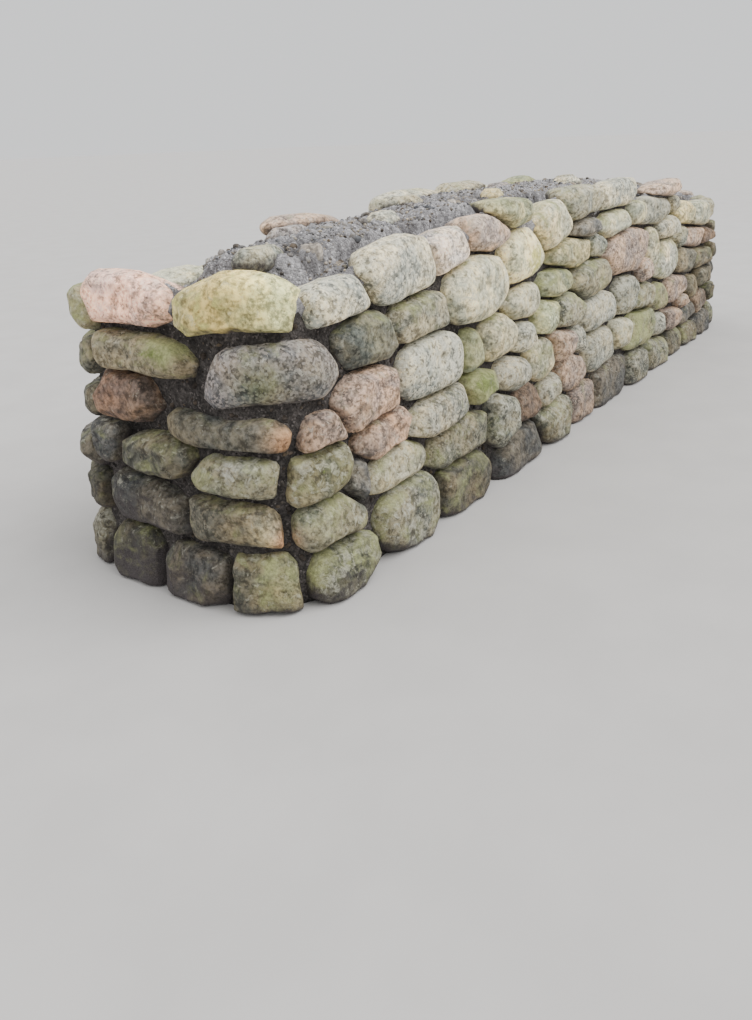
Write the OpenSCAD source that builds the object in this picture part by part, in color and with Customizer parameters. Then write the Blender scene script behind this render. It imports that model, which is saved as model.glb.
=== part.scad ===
// Dry stone wall of field boulders: a free-standing wall with rounded corners, battered faces
// and an earth-filled middle. The origin is at the centre of the wall's foot, +Z is up,
// +X runs along the wall away from its near end, and the front face looks towards -Y.

/* [Wall] */
// Length of the wall at its foot, over the stones
wall_length = 5300; // [4700:50:6000]
// Thickness of the wall at its foot, over the stones
wall_thickness = 1200; // [1100:20:1500]
// Height of the highest part of the wall
wall_height = 1150; // [950:10:1300]
// How much lower the wall stands at its far end than its courses are drawn
far_end_drop = 100; // [0:10:150]
// Radius of the rounded corners at the foot
corner_radius = 360; // [350:10:450]
// Lean of every face into the wall, in millimetres per metre of height
batter = 80; // [40:5:90]

/* [Facing stones] */
// How far a facing stone reaches into the wall
stone_depth = 220; // [180:5:230]
// Most that a stone's face stands back from the wall's outer line
face_relief = 34; // [10:2:50]
// Depth in the wall at which every stone is widest and seats against its neighbours
seat_depth = 110; // [90:5:130]
// How far a stone may fill out past its scheduled size, in percent
fill_out = 20; // [10:1:30]
// Steepest that a stone lies to its course, in degrees
steepest_tilt = 5; // [0:1:8]
// How much further it may fill out downwards, to sit on the stones below, in percent
bed_down = 30; // [20:1:38]
// Clearance left between one stone and the next, and between stones and earth
bed_gap = 0.3; // [0.1:0.1:0.8]
// How far short of a corner's centre the heel of the stone that turns it stops
heel_stop = 15; // [10:1:40]
// Extra clearance where two stones part on a steep slant at a rounded corner
corner_slack = 14; // [8:1:20]
// Corners of a stone's outline before its neighbours trim it
outline_points = 8; // [7:1:9]

/* [Earth middle] */
// Depth of the topsoil where the wall is lowest
topsoil_depth = 170; // [100:10:300]
// Depth of the topsoil's surface below the tops of the edge stones
topsoil_drop = 22; // [16:2:60]
// Rise of the topsoil towards the middle of the wall
topsoil_crown = 56; // [0:2:70]
// Room for packing between the earth and the heels of the stones that turn a corner
corner_packing = 12; // [10:1:40]

/* [Bedded stones] */
// Thickness of the flat stones bedded in the topsoil
bedded_thickness = 90; // [70:5:120]
// How far the flat stones stand out of the topsoil
bedded_rise = 25; // [15:1:30]

/* [Hidden] */
course_count = 6;

// The four spans of the outline, worked along the foot of the wall
corner_arc = 90 * PI / 180 * corner_radius;
end_straight = wall_thickness - 2 * corner_radius;
front_straight = wall_length - 2 * corner_radius;
end_span = end_straight + corner_arc;
front_span = front_straight + corner_arc;
half_loop = end_span + front_span;

// End span, front span and height that the schedule below was measured on
drawn_wall = [1045, 5145, 1150];

// Field stone colours
granite = [0.56, 0.54, 0.50];
slate = [0.42, 0.41, 0.40];
mossy = [0.53, 0.55, 0.37];
leaf = [0.50, 0.58, 0.30];
cream = [0.73, 0.69, 0.52];
lichen = [0.76, 0.71, 0.38];
pink = [0.74, 0.56, 0.49];
rust = [0.62, 0.43, 0.34];
umber = [0.50, 0.43, 0.32];
dark_earth = [0.19, 0.17, 0.16];

// Schedule of the stones of half the wall, bottom course first: near end, near corner, front and
// far corner. The other half, far end and back, is laid to the same schedule. Each stone is its
// distance along the outline from the middle of the corner before it, the height of its middle,
// its length, its height and its colour.
schedule = [
    [
        [350, 105, 300, 200, umber], [650, 100, 300, 190, slate], [975, 110, 320, 215, umber],
        [1330, 90, 370, 175, mossy], [1785, 125, 390, 235, granite], [2200, 105, 460, 190, umber],
        [2680, 80, 460, 155, slate], [3110, 115, 370, 195, mossy], [3450, 100, 290, 180, pink],
        [3860, 105, 520, 205, slate], [4300, 90, 350, 175, granite], [4670, 95, 380, 190, granite],
        [5045, 80, 350, 155, umber], [5390, 72, 330, 140, rust], [5740, 90, 350, 170, mossy],
        [6150, 105, 460, 200, granite]
    ],
    [
        [430, 300, 400, 165, slate], [860, 282, 440, 170, umber], [1290, 262, 380, 180, mossy],
        [1475, 345, 110, 130, granite], [1725, 325, 390, 135, cream], [2170, 285, 480, 170, mossy],
        [2530, 270, 270, 230, granite], [2790, 270, 260, 160, pink], [3050, 250, 230, 130, slate],
        [3320, 280, 310, 190, pink], [3710, 320, 380, 200, granite], [4030, 340, 260, 150, cream],
        [4380, 290, 470, 210, mossy], [4720, 240, 210, 170, slate], [5000, 240, 340, 120, umber],
        [5360, 210, 380, 140, pink], [5250, 318, 170, 90, granite], [5690, 250, 270, 180, rust],
        [6010, 290, 380, 170, granite], [6305, 300, 230, 155, umber]
    ],
    [
        [265, 505, 180, 145, slate], [505, 490, 310, 120, mossy], [890, 455, 410, 140, mossy],
        [1270, 425, 340, 195, leaf], [1650, 465, 290, 140, pink], [2020, 430, 440, 165, cream],
        [2360, 455, 250, 115, leaf], [2640, 420, 310, 165, granite], [2955, 425, 290, 200, cream],
        [3200, 450, 240, 140, pink], [3400, 420, 150, 150, slate], [3700, 510, 490, 180, granite],
        [4110, 525, 330, 215, granite], [4450, 470, 340, 140, mossy], [4750, 415, 250, 170, mossy],
        [5110, 430, 440, 150, pink], [5450, 385, 240, 160, mossy], [5770, 420, 370, 150, umber],
        [6150, 450, 420, 160, granite]
    ],
    [
        [345, 655, 340, 190, rust], [865, 590, 640, 130, umber], [1310, 555, 220, 130, pink],
        [1590, 600, 340, 170, pink], [2010, 610, 470, 215, granite], [2310, 610, 150, 150, leaf],
        [2530, 610, 290, 180, granite], [2755, 565, 180, 130, slate], [3030, 600, 220, 150, leaf],
        [3280, 585, 340, 170, granite], [3570, 695, 460, 165, mossy], [4160, 760, 650, 230, pink],
        [4435, 625, 140, 120, umber], [4590, 735, 190, 220, granite], [4890, 635, 400, 240, cream],
        [5290, 590, 420, 170, mossy], [5700, 570, 430, 140, granite], [6110, 610, 430, 160, umber]
    ],
    [
        [470, 793, 430, 145, umber], [1095, 749, 700, 238, granite], [1610, 790, 300, 150, slate],
        [1955, 810, 370, 130, granite], [2370, 830, 480, 245, cream], [2800, 710, 340, 145, cream],
        [3140, 745, 330, 120, mossy], [3340, 855, 430, 130, lichen], [3660, 850, 200, 100, umber],
        [4890, 830, 340, 120, granite], [5160, 755, 220, 130, slate], [5460, 725, 420, 140, pink],
        [5830, 710, 360, 120, rust], [6190, 760, 400, 150, umber]
    ],
    [
        [350, 963, 420, 145, pink], [990, 963, 620, 184, lichen], [1470, 935, 350, 130, granite],
        [1850, 980, 440, 195, granite], [2205, 1005, 310, 140, pink], [2500, 1035, 360, 125, pink],
        [2695, 1090, 310, 110, leaf], [2815, 900, 380, 210, cream], [3140, 1005, 330, 180, cream],
        [3450, 1075, 400, 160, umber], [3500, 950, 280, 90, slate], [3950, 930, 470, 115, cream],
        [3990, 1070, 540, 130, granite], [4290, 955, 190, 120, cream], [4660, 935, 540, 155, slate],
        [4840, 1050, 440, 90, pink], [5030, 965, 150, 90, slate], [5240, 900, 380, 140, lichen],
        [5610, 880, 380, 165, cream], [5980, 900, 350, 150, granite], [6275, 920, 260, 145, mossy]
    ]
];

// The line of the wall's top, measured as the schedule is: distance and height
top_line = [
    [0, 1010], [600, 1040], [1300, 1055], [2200, 1090], [2900, 1120], [3900, 1115], [4700, 1060],
    [5500, 990], [6190, 970]
];

// Flat stones bedded in the topsoil: place along, as a share of the wall's length from its
// middle, place across, length, width and turn
bedded_stones = [
    [-0.395, -90, 300, 170, 10], [-0.32, 110, 260, 160, -20], [-0.25, -80, 280, 180, 25],
    [-0.165, 110, 280, 170, -10], [-0.08, -100, 240, 150, 30], [0.005, 90, 300, 180, 15],
    [0.095, -90, 260, 160, -25], [0.18, 100, 290, 170, 5], [0.27, -80, 300, 180, 20],
    [0.37, 60, 270, 170, -15]
];

// Moves a scheduled distance to its place on this wall's outline
function along(s) = s < drawn_wall[0]
    ? s * end_span / drawn_wall[0]
    : end_span + (s - drawn_wall[0]) * front_span / drawn_wall[1];
function stretch(s) = s < drawn_wall[0] ? end_span / drawn_wall[0] : front_span / drawn_wall[1];

// How the drawn heights scale at a place round the loop: the wall steps down to its far end
drop_line = [
    [end_span + 0.7 * front_span, 0], [half_loop, 1], [half_loop + end_span, 1],
    [half_loop + end_span + 0.4 * front_span, 0]
];
function rise(s) = (wall_height - far_end_drop * lookup(s, drop_line)) / drawn_wall[2];

// A stone ready to trim: place along, height, half length, half height, colour, number. The
// numbers of the second half start at 1000.
function ready(half, course, i) = let (
    r = schedule[course][i],
    s = along(r[0]) + half * half_loop,
    number = 1000 * half + 100 * course + i
) [s, r[1] * rise(s), r[2] * stretch(r[0]) / 2, r[3] * rise(s) / 2, r[4], number];
stones = [for (course = [0 : course_count - 1])
    [for (half = [0, 1]) for (i = [0 : len(schedule[course]) - 1]) ready(half, course, i)]];

// A point on the outline at a distance along it, set back into the wall by an offset
function outline_point(s, back) = s < 0 || s >= half_loop
    ? -outline_point(s < 0 ? s + half_loop : s - half_loop, back)
    : let (
        half_arc = corner_arc / 2,
        end_stop = half_arc + end_straight,
        front_start = end_stop + corner_arc,
        front_stop = front_start + front_straight,
        r = max(corner_radius - back, 1),
        x = wall_length / 2 - corner_radius,
        y = wall_thickness / 2 - corner_radius,
        turn = 90 / corner_arc
    )
    s < half_arc ? [-x, y] + r * [cos(135 + s * turn), sin(135 + s * turn)]
    : s < end_stop ? [-x - r, y - (s - half_arc)]
    : s < front_start ? [-x, -y] - r * [cos((s - end_stop) * turn), sin((s - end_stop) * turn)]
    : s < front_stop ? [-x + (s - front_start), -y - r]
    : [x, -y] + r * [cos(270 + (s - front_stop) * turn), sin(270 + (s - front_stop) * turn)];

// The place in the wall of a point on the unrolled face, at a depth behind the outline
function wall_point(p, depth) = let (
    q = outline_point(p.x, depth + batter / 1000 * p.y)
) [q.x, q.y, p.y];

// How each stone lies and how square it is: between 2 for an ellipse and 6 for a block. A few
// stones by the near corner, named by their numbers, are set by hand.
laid_by_hand = [
    [300, -12, 2.8], [301, -5, 2.6], [400, -7, 2.5], [401, 1, 2.2], [501, 0, 5], [500, 0, 4],
    [101, -4, 3], [202, -3, 2.4], [203, 8, 3], [204, 9, 2.6], [404, 4, 2.1], [503, 4, 2.6]
];
function lie(number) = let (
    found = [for (row = laid_by_hand) if (row[0] == number) row],
    tilt = rands(-steepest_tilt, steepest_tilt, 1, number + 13)[0]
) len(found) > 0 ? [found[0][1], found[0][2]] : [tilt, rands(2.2, 3.4, 1, number + 14)[0]];

// The stone's own rounded outline, before its neighbours trim it
function own_outline(st) = let (
    wobble = rands(0.93, 1.06, outline_points, st[5] + 11),
    turn = rands(0, 360 / outline_points, 1, st[5] + 12)[0],
    tilt = lie(st[5])[0],
    power = lie(st[5])[1]
) [for (i = [0 : outline_points - 1]) let (
    a = turn + i * 360 / outline_points,
    grow = 1 + fill_out / 100 + bed_down / 100 * max(0, -sin(a)),
    square_up = pow(pow(abs(cos(a)), power) + pow(abs(sin(a)), power), -1 / power),
    p = grow * wobble[i] * square_up * [st[2] * cos(a), st[3] * sin(a)]
) [st[0] + p.x * cos(tilt) - p.y * sin(tilt), st[1] + p.x * sin(tilt) + p.y * cos(tilt)]];

// Whether a stone reaches into one of the rounded corners, and whether it turns the corner
corners = [0, end_span, half_loop, half_loop + end_span, 2 * half_loop, 2 * half_loop + end_span];
function corner_distance(st) = min([for (c = corners) abs(st[0] - c)]);
function reaches_corner(st) = corner_distance(st) < corner_arc / 2 + st[2];
function turns_corner(st) = corner_distance(st) < 0.6 * st[2];

// At a corner the beds are laid level and the upright joints plumb, unless they slant steeply
function squared(n) = abs(n.x) < 0.35 ? [0, sign(n.y)] : abs(n.y) < 0.35 ? [sign(n.x), 0] : n;

// The line that parts two stones, as its normal and its distance along that normal
function parting_line(st, other) = let (
    d = [other[0] - st[0], other[1] - st[1]],
    lean = [d.x / pow(st[2] + other[2], 2), d.y / pow(st[3] + other[3], 2)],
    corner = reaches_corner(st) && reaches_corner(other),
    n = corner ? squared(lean / norm(lean)) : lean / norm(lean),
    mine = norm([st[2] * n.x, st[3] * n.y]),
    theirs = norm([other[2] * n.x, other[3] * n.y]),
    room = bed_gap + (corner ? 2 * corner_slack * abs(n.x * n.y) : 0)
) [n, [st[0], st[1]] * n + mine + (d * n - mine - theirs) / 2 - room / 2];

// The neighbours near enough to trim a stone, those round the end of the loop among them
function neighbours(st) = [
    for (course = stones) for (other = course) for (lap = [-2 * half_loop, 0, 2 * half_loop])
        let (o = [other[0] + lap, other[1], other[2], other[3], other[4], other[5]])
        if (o[5] != st[5]
            && abs(o[0] - st[0]) < 1.4 * (o[2] + st[2])
            && abs(o[1] - st[1]) < 1.4 * (o[3] + st[3])) o
];

function trim(outline, line) = [
    for (i = [0 : len(outline) - 1]) let (
        p = outline[i],
        q = outline[(i + 1) % len(outline)],
        dp = p * line[0] - line[1],
        dq = q * line[0] - line[1]
    ) each concat(dp <= 0 ? [p] : [], dp * dq < 0 ? [p + (q - p) * dp / (dp - dq)] : [])
];
function trim_all(outline, lines, i = 0) = i == len(lines)
    ? outline
    : trim_all(trim(outline, lines[i]), lines, i + 1);

// The ground under the bottom course, and the mason's string over the top one
ground_line = [[0, -1], 0];
string_line = [[0, 1], wall_height];
function stone_outline(st) = trim_all(
    own_outline(st),
    concat([ground_line, string_line], [for (o = neighbours(st)) parting_line(st, o)])
);

// The middle of an outline, and its lowest height
function mean(points) = [for (p = points) 1 / len(points)] * points;
function lowest(points) = min([for (p = points) p.y]);

// One ring of the stone: the outline drawn in towards its middle and set at a depth
function ring(outline, centre, size, depth, seed, every = 1) = let (
    share = rands(size[0] - size[1], size[0] + size[1], len(outline), seed)
) [for (i = [0 : every : len(outline) - 1])
    wall_point(centre + (outline[i] - centre) * share[i], depth)];

// How large a stone's rings are, as shares of its outline, and how uneven
face_ring = [0.62, 0.08];
shoulder_ring = [0.92, 0.04];
tail_ring = [0.74, 0.05];
heel_ring = [0.5, 0];
shoulder_place = 0.3;

// A boulder: rings at its face, its shoulder, its widest part and its tail, hulled together. One
// that turns a corner is a block with a heel that reaches back to the corner's centre.
module stone(st) {
    outline = stone_outline(st);
    m = mean(outline);
    bedded = lowest(outline) < 1;
    centre = [m.x, bedded ? 0 : m.y];
    face = rands(0, face_relief, 1, st[5] + 21)[0];
    lean = rands(-0.15, 0.15, 2, st[5] + 22);
    bulge = centre + [lean.x * st[2], bedded ? 0 : lean.y * st[3]];
    heel_depth = corner_radius - heel_stop - batter / 1000 * (st[1] + st[3]);
    points = concat(
        ring(outline, bulge, face_ring, face, st[5] + 31),
        ring(outline, centre, shoulder_ring, face + shoulder_place * (seat_depth - face), st[5] + 32),
        ring(outline, centre, [1, 0], seat_depth, st[5] + 33),
        ring(outline, centre, tail_ring, stone_depth, st[5] + 34, 2),
        turns_corner(st) ? ring(outline, centre, heel_ring, heel_depth, st[5], 2) : []
    );
    color(st[4]) hull() polyhedron(points, [[for (i = [0 : len(points) - 1]) i]]);
}

// The number of the stone in a course that turns the corner of a half
function corner_of(half, course) = let (
    row = [for (st = stones[course]) if (floor(st[5] / 1000) == half) st],
    away = [for (st = row) abs(st[0] + 0.1 * corner_radius - end_span - half * half_loop)]
) row[search(min(away), away)[0]][5];

// The runs of one half's course: before its corner stone, the corner stone, and after it
module run(half, which, k) {
    corner = corner_of(half, k);
    for (st = stones[k]) if (floor(st[5] / 1000) == half && sign(st[5] - corner) == which) stone(st);
}

// How far the earth's sides stand inside the foot of the wall at a height
function earth_inset(z) = stone_depth + bed_gap + batter / 1000 * z;

// The earth's plan at a height: a rectangle inside the stones with its corners cut off
corner_cut = 2 * (corner_radius - stone_depth) + corner_packing;
function earth_corner(z, x_side, y_side, long_way) = [
    x_side * (wall_length / 2 - earth_inset(z) - (long_way ? corner_cut : 0)),
    y_side * (wall_thickness / 2 - earth_inset(z) - (long_way ? 0 : corner_cut)),
    z
];
function earth_plan(z) = [
    for (x_side = [-1, 1]) for (y_side = [-1, 1]) for (long_way = [true, false])
        earth_corner(z, x_side, y_side, long_way)
];

// Height of the topsoil's edge at a place round the loop
function half_place(s) = s < half_loop ? s : s - half_loop;
drawn_places = [for (p = top_line) [along(p.x), p.y]];
function soil_edge(s) = rise(s) * lookup(half_place(s), drawn_places) - topsoil_drop;

// Its points over the corners, in the order in which the loop meets them, and along both faces
corner_sides = [[-1, 1], [-1, -1], [1, -1], [1, 1]];
corner_points = [for (i = [0 : 3]) for (long_way = [true, false])
    earth_corner(soil_edge(corners[i]), corner_sides[i].x, corner_sides[i].y, long_way)];
function place_at(x) = end_span + corner_arc / 2 + x + wall_length / 2 - corner_radius;
function face_point(x, half) = let (
    z = soil_edge(place_at(half == 0 ? x : -x) + half * half_loop),
    side = half == 0 ? -1 : 1
) [x, side * (wall_thickness / 2 - earth_inset(z)), z];
soil_limit = wall_height - bedded_rise;
function middle_point(x) = let (
    z = (face_point(x, 0).z + face_point(x, 1).z) / 2 + topsoil_crown
) [x, 0, min(z, soil_limit)];
soil_stations = [for (share = [-0.36 : 0.12 : 0.36]) share * wall_length];
hearting_top = min([for (p = corner_points) p.z]) - topsoil_depth;

// The solid that just holds a set of points
module wrap(points) {
    hull() polyhedron(points, [[for (i = [0 : len(points) - 1]) i]]);
}

module rammed_hearting() {
    color(dark_earth) wrap(concat(earth_plan(0), earth_plan(hearting_top)));
}

// A flat stone lying in the topsoil, or with room round it the bed that it lies in: rings at
// shares of its thickness below its top, each at its share of its full spread
stone_levels = [[0, 0.6], [0.3, 0.92], [0.6, 1], [1, 0.75]];
bedded_sides = 8;
module flat_stone(i, room) {
    b = bedded_stones[i];
    x = b.x * wall_length;
    uneven = rands(0.85, 1, bedded_sides, 3000 + i);
    translate([x, b.y, middle_point(x).z + bedded_rise + room]) rotate([0, 0, b[4]]) wrap([
        for (level = stone_levels) for (k = [0 : bedded_sides - 1]) let (a = k * 360 / bedded_sides) [
            (b[2] / 2 * uneven[k] * level[1] + room) * cos(a),
            (b[3] / 2 * uneven[k] * level[1] + room) * sin(a),
            -level[0] * (bedded_thickness + 2 * room)
        ]
    ]);
}

module topsoil() {
    rim = concat(corner_points, [for (x = soil_stations) for (half = [0, 1]) face_point(x, half)]);
    crown = [for (x = soil_stations) middle_point(x)];
    color(dark_earth) difference() {
        wrap(concat(earth_plan(hearting_top + bed_gap), rim, crown));
        for (i = [0 : len(bedded_stones) - 1]) flat_stone(i, bed_gap);
    }
}

module bedded_stones_in_topsoil() {
    for (i = [0 : len(bedded_stones) - 1]) color(mossy) flat_stone(i, 0);
}

// Names of the runs of each half's courses: before the corner, at it and after it
run_names = [
    ["near_end_course_", "near_corner_stone_", "front_course_"],
    ["far_end_course_", "far_corner_stone_", "back_course_"]
];

rammed_hearting();
topsoil();
bedded_stones_in_topsoil();  // bedded_stones
for (half = [0, 1]) for (which = [-1, 0, 1]) for (k = [1 : course_count]) {
    run(half, which, k - 1);
}
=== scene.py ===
import math
import random

import bmesh
import bpy
import numpy as np
from mathutils import Matrix, Vector, noise
from mathutils.bvhtree import BVHTree
from mathutils.kdtree import KDTree


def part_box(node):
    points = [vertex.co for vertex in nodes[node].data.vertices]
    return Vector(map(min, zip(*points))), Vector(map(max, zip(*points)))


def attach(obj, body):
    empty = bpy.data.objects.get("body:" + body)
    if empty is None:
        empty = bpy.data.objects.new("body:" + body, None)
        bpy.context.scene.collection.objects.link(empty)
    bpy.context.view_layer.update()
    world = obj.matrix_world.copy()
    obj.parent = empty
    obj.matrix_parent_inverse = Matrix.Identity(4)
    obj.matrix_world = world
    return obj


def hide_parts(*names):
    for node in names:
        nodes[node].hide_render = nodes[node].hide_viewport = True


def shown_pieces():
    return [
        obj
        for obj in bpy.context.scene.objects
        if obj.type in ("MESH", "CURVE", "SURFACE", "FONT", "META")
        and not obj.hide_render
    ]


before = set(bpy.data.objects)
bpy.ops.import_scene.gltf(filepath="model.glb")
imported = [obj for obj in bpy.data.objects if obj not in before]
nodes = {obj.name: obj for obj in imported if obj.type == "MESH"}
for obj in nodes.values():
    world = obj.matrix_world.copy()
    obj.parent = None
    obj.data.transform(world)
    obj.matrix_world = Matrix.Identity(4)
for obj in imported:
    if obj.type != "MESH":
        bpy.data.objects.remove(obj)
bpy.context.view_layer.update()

# The wall's own outline, in metres, as the frame was laid out
wall = {
    "length": 5.3,
    "thickness": 1.2,
    "height": 1.15,
    "cornerRadius": 0.36,
    "batter": 0.08,
}
halves = [
    {"end": "near_end", "corner": "near_corner", "face": "front", "side": -1},
    {"end": "far_end", "corner": "far_corner", "face": "back", "side": 1},
]
courseCount = 6


# A colour given as it looks on a screen, turned to the linear values that shaders use
def linear(red, green, blue):
    return [((c + 0.055) / 1.055) ** 2.4 if c > 0.04045 else c / 12.92 for c in (red, green, blue)] + [1]


# Half of the straight stretch between the rounded corners, along the wall and across it
straight = np.array([wall["length"], wall["thickness"]]) / 2 - wall["cornerRadius"]
tiny = 1e-6


# Outward direction of the wall's face at a place in plan
def outward(x, y):
    nearest = np.clip((x, y), -straight, straight)
    way = Vector((x - nearest[0], y - nearest[1], 0))
    if way.length < tiny:
        way = Vector((0, math.copysign(1, y), 0))
    return way.normalized()


# The same for many points at once
def outwardRows(points):
    ways = points[:, :2] - np.clip(points[:, :2], -straight, straight)
    lengths = np.linalg.norm(ways, axis=1)
    ways = np.where(lengths[:, None] < tiny, [0, 1], ways / np.maximum(lengths, tiny)[:, None])
    return np.column_stack([ways, np.zeros(len(points))])


# How far points stand behind the wall's battered outer line
def depthRows(points):
    past = np.abs(points[:, :2]) - straight
    reach = np.linalg.norm(np.maximum(past, 0), axis=1) + np.minimum(past.max(1), 0)
    return wall["cornerRadius"] - reach - wall["batter"] * points[:, 2]


def placeObject(name, data):
    data.name = name
    placed = bpy.data.objects.new(name, data)
    bpy.context.scene.collection.objects.link(placed)
    return placed


# Extruding adds its faces in another order at each run, so they are sorted
def sortFaces(bm):
    bm.verts.index_update()
    bm.faces.sort(key=lambda f: sum(v.index ** 2 for v in f.verts))


def meshFrom(bm):
    mesh = bpy.data.meshes.new("shape")
    bm.to_mesh(mesh)
    bm.free()
    return mesh


# A visible piece of the wall
def addPiece(name, mesh, material, replaced=()):
    mesh.shade_smooth()
    mesh.materials.append(material)
    piece = placeObject(name, mesh)
    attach(piece, "root")
    if replaced:
        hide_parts(*replaced)
    return piece


# Camera where the photograph was taken from, with its turn, tilt and roll
view = {
    "place": (-4.195, -2.015, 1.4),
    "yaw": 35.2,
    "pitch": 24.5,
    "roll": 2.28,
    "focalPixels": 822,
    "imageHeight": 1020,
    "sensor": 36,
}


def addCamera():
    yaw, pitch, roll = (math.radians(view[k]) for k in ("yaw", "pitch", "roll"))
    level = Matrix(((math.sin(yaw), math.cos(yaw), 0), (-math.cos(yaw), math.sin(yaw), 0), (0, 0, 1)))
    ahead = level @ Vector((0, math.cos(pitch), -math.sin(pitch)))
    right = level @ Vector((1, 0, 0))
    down = ahead.cross(right)
    rolledRight = math.cos(roll) * right + math.sin(roll) * down
    rolledDown = -math.sin(roll) * right + math.cos(roll) * down
    data = bpy.data.cameras.new("photographCamera")
    data.sensor_width = view["sensor"]
    data.lens = view["sensor"] * view["focalPixels"] / view["imageHeight"]
    camera = placeObject("photographCamera", data)
    turn = Matrix((rolledRight, -rolledDown, -ahead)).transposed()
    camera.matrix_world = Matrix.Translation(view["place"]) @ turn.to_4x4()
    bpy.context.scene.camera = camera


addCamera()
print("camera set")


# Material nodes: one call adds a node, sets its values and joins its inputs
def put(tree, kind, inputs=None, **settings):
    node = tree.nodes.new(kind)
    for name, value in settings.items():
        setattr(node, name, value)
    for key, value in (inputs or {}).items():
        if isinstance(value, bpy.types.NodeSocket):
            tree.links.new(value, node.inputs[key])
        else:
            node.inputs[key].default_value = value
    return node


def mathNode(tree, operation, first, second=0.0, third=0.0):
    return put(tree, "ShaderNodeMath", {0: first, 1: second, 2: third}, operation=operation).outputs[0]


def mixColours(tree, share, first, second, mode="MIX"):
    node = put(tree, "ShaderNodeMix", {0: share, 6: first, 7: second}, data_type="RGBA", blend_type=mode)
    return node.outputs[2]


def timesColour(tree, first, factors):
    return mixColours(tree, 1.0, first, (*factors, 1), "MULTIPLY")


def brightened(tree, first, share):
    return put(tree, "ShaderNodeVectorMath", {0: first, "Scale": share}, operation="SCALE").outputs[0]


def cellNode(tree, vector, scale):
    return put(tree, "ShaderNodeTexVoronoi", {"Vector": vector, "Scale": scale, "Randomness": 1}).outputs


def splitColour(tree, first):
    return put(tree, "ShaderNodeSeparateColor", {0: first}).outputs


def bumpNode(tree, height, distance, strength):
    inputs = {"Height": height, "Distance": distance, "Strength": strength}
    return put(tree, "ShaderNodeBump", inputs).outputs[0]


def attributeNode(tree, name, output="Fac"):
    return put(tree, "ShaderNodeAttribute", attribute_name=name).outputs[output]


def objectPlace(tree):
    return put(tree, "ShaderNodeTexCoord").outputs["Object"]


def cloudNode(tree, vector, scale, detail=4.0, rough=0.55, warp=0.0):
    return put(tree, "ShaderNodeTexNoise", {
        "Vector": vector, "Scale": scale, "Detail": detail, "Roughness": rough, "Distortion": warp,
    }).outputs[0]


def rangeNode(tree, value, low, high, newLow=0.0, newHigh=1.0, smooth=True):
    node = put(tree, "ShaderNodeMapRange", {0: value, 1: low, 2: high, 3: newLow, 4: newHigh})
    node.interpolation_type = "SMOOTHSTEP" if smooth else "LINEAR"
    return node.outputs[0]


# A node group is opened with a place and its own inputs, and closed with a colour and one value
def openGroup(name, colours, numbers):
    group = bpy.data.node_groups.new(name, "ShaderNodeTree")
    for kind, titles in (("Vector", ["Vector"]), ("Color", colours), ("Float", numbers)):
        for title in titles:
            group.interface.new_socket(title, in_out="INPUT", socket_type="NodeSocket" + kind)
    given = group.nodes.new("NodeGroupInput").outputs
    return group, given, given["Vector"]


def closeGroup(group, colour, title, value):
    group.interface.new_socket("Color", in_out="OUTPUT", socket_type="NodeSocketColor")
    group.interface.new_socket(title, in_out="OUTPUT", socket_type="NodeSocketFloat")
    result = group.nodes.new("NodeGroupOutput").inputs
    group.links.new(colour, result["Color"])
    group.links.new(value, result[title])
    return group


# Crystals of a granite: a broad mottle, a medium cloud, dark mica and pale feldspar. Sizes of the
# noises are in turns per metre, and tones are factors on the stone's own tint.
granite = {
    "broad": 7,
    "medium": 38,
    "fine": 260,
    "crystals": 125,
    "warmer": (1.25, 1.14, 0.95),
    "cooler": (0.61, 0.66, 0.71),
    "lightness": (0.44, 1.54),
    "micaShare": 0.2,
    "mica": (0.05, 0.045, 0.04, 1),
    "micaStrength": 0.6,
    "feldsparFrom": 0.78,
    "feldspar": (1.9, 1.85, 1.8),
    "feldsparStrength": 0.55,
}


def makeStoneGrain():
    group, given, spot = openGroup("stoneGrain", ["Tint"], ["Fleck"])
    broad = cloudNode(group, spot, granite["broad"], 3, 0.6, 0.4)
    medium = cloudNode(group, spot, granite["medium"], 5, 0.65)
    fine = cloudNode(group, spot, granite["fine"], 3, 0.7)
    warmer = timesColour(group, given["Tint"], granite["warmer"])
    cooler = timesColour(group, given["Tint"], granite["cooler"])
    mottled = mixColours(group, rangeNode(group, broad, 0.38, 0.62), cooler, warmer)
    clouded = brightened(group, mottled, rangeNode(group, medium, 0.34, 0.66, *granite["lightness"]))
    split = splitColour(group, cellNode(group, spot, granite["crystals"])["Color"])
    isMica = mathNode(group, "LESS_THAN", split[0], granite["micaShare"])
    isFeldspar = mathNode(group, "GREATER_THAN", split[1], granite["feldsparFrom"])
    mica = mathNode(group, "MULTIPLY", isMica, given["Fleck"])
    mica = mathNode(group, "MULTIPLY", mica, granite["micaStrength"])
    feldspar = mathNode(group, "MULTIPLY", isFeldspar, given["Fleck"])
    feldspar = mathNode(group, "MULTIPLY", feldspar, granite["feldsparStrength"])
    darkened = mixColours(group, mica, clouded, granite["mica"])
    glint = timesColour(group, given["Tint"], granite["feldspar"])
    coarse = mathNode(group, "MULTIPLY", medium, 0.7)
    height = mathNode(group, "MULTIPLY_ADD", fine, 0.3, coarse)
    return closeGroup(group, mixColours(group, feldspar, darkened, glint), "Height", height)


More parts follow.
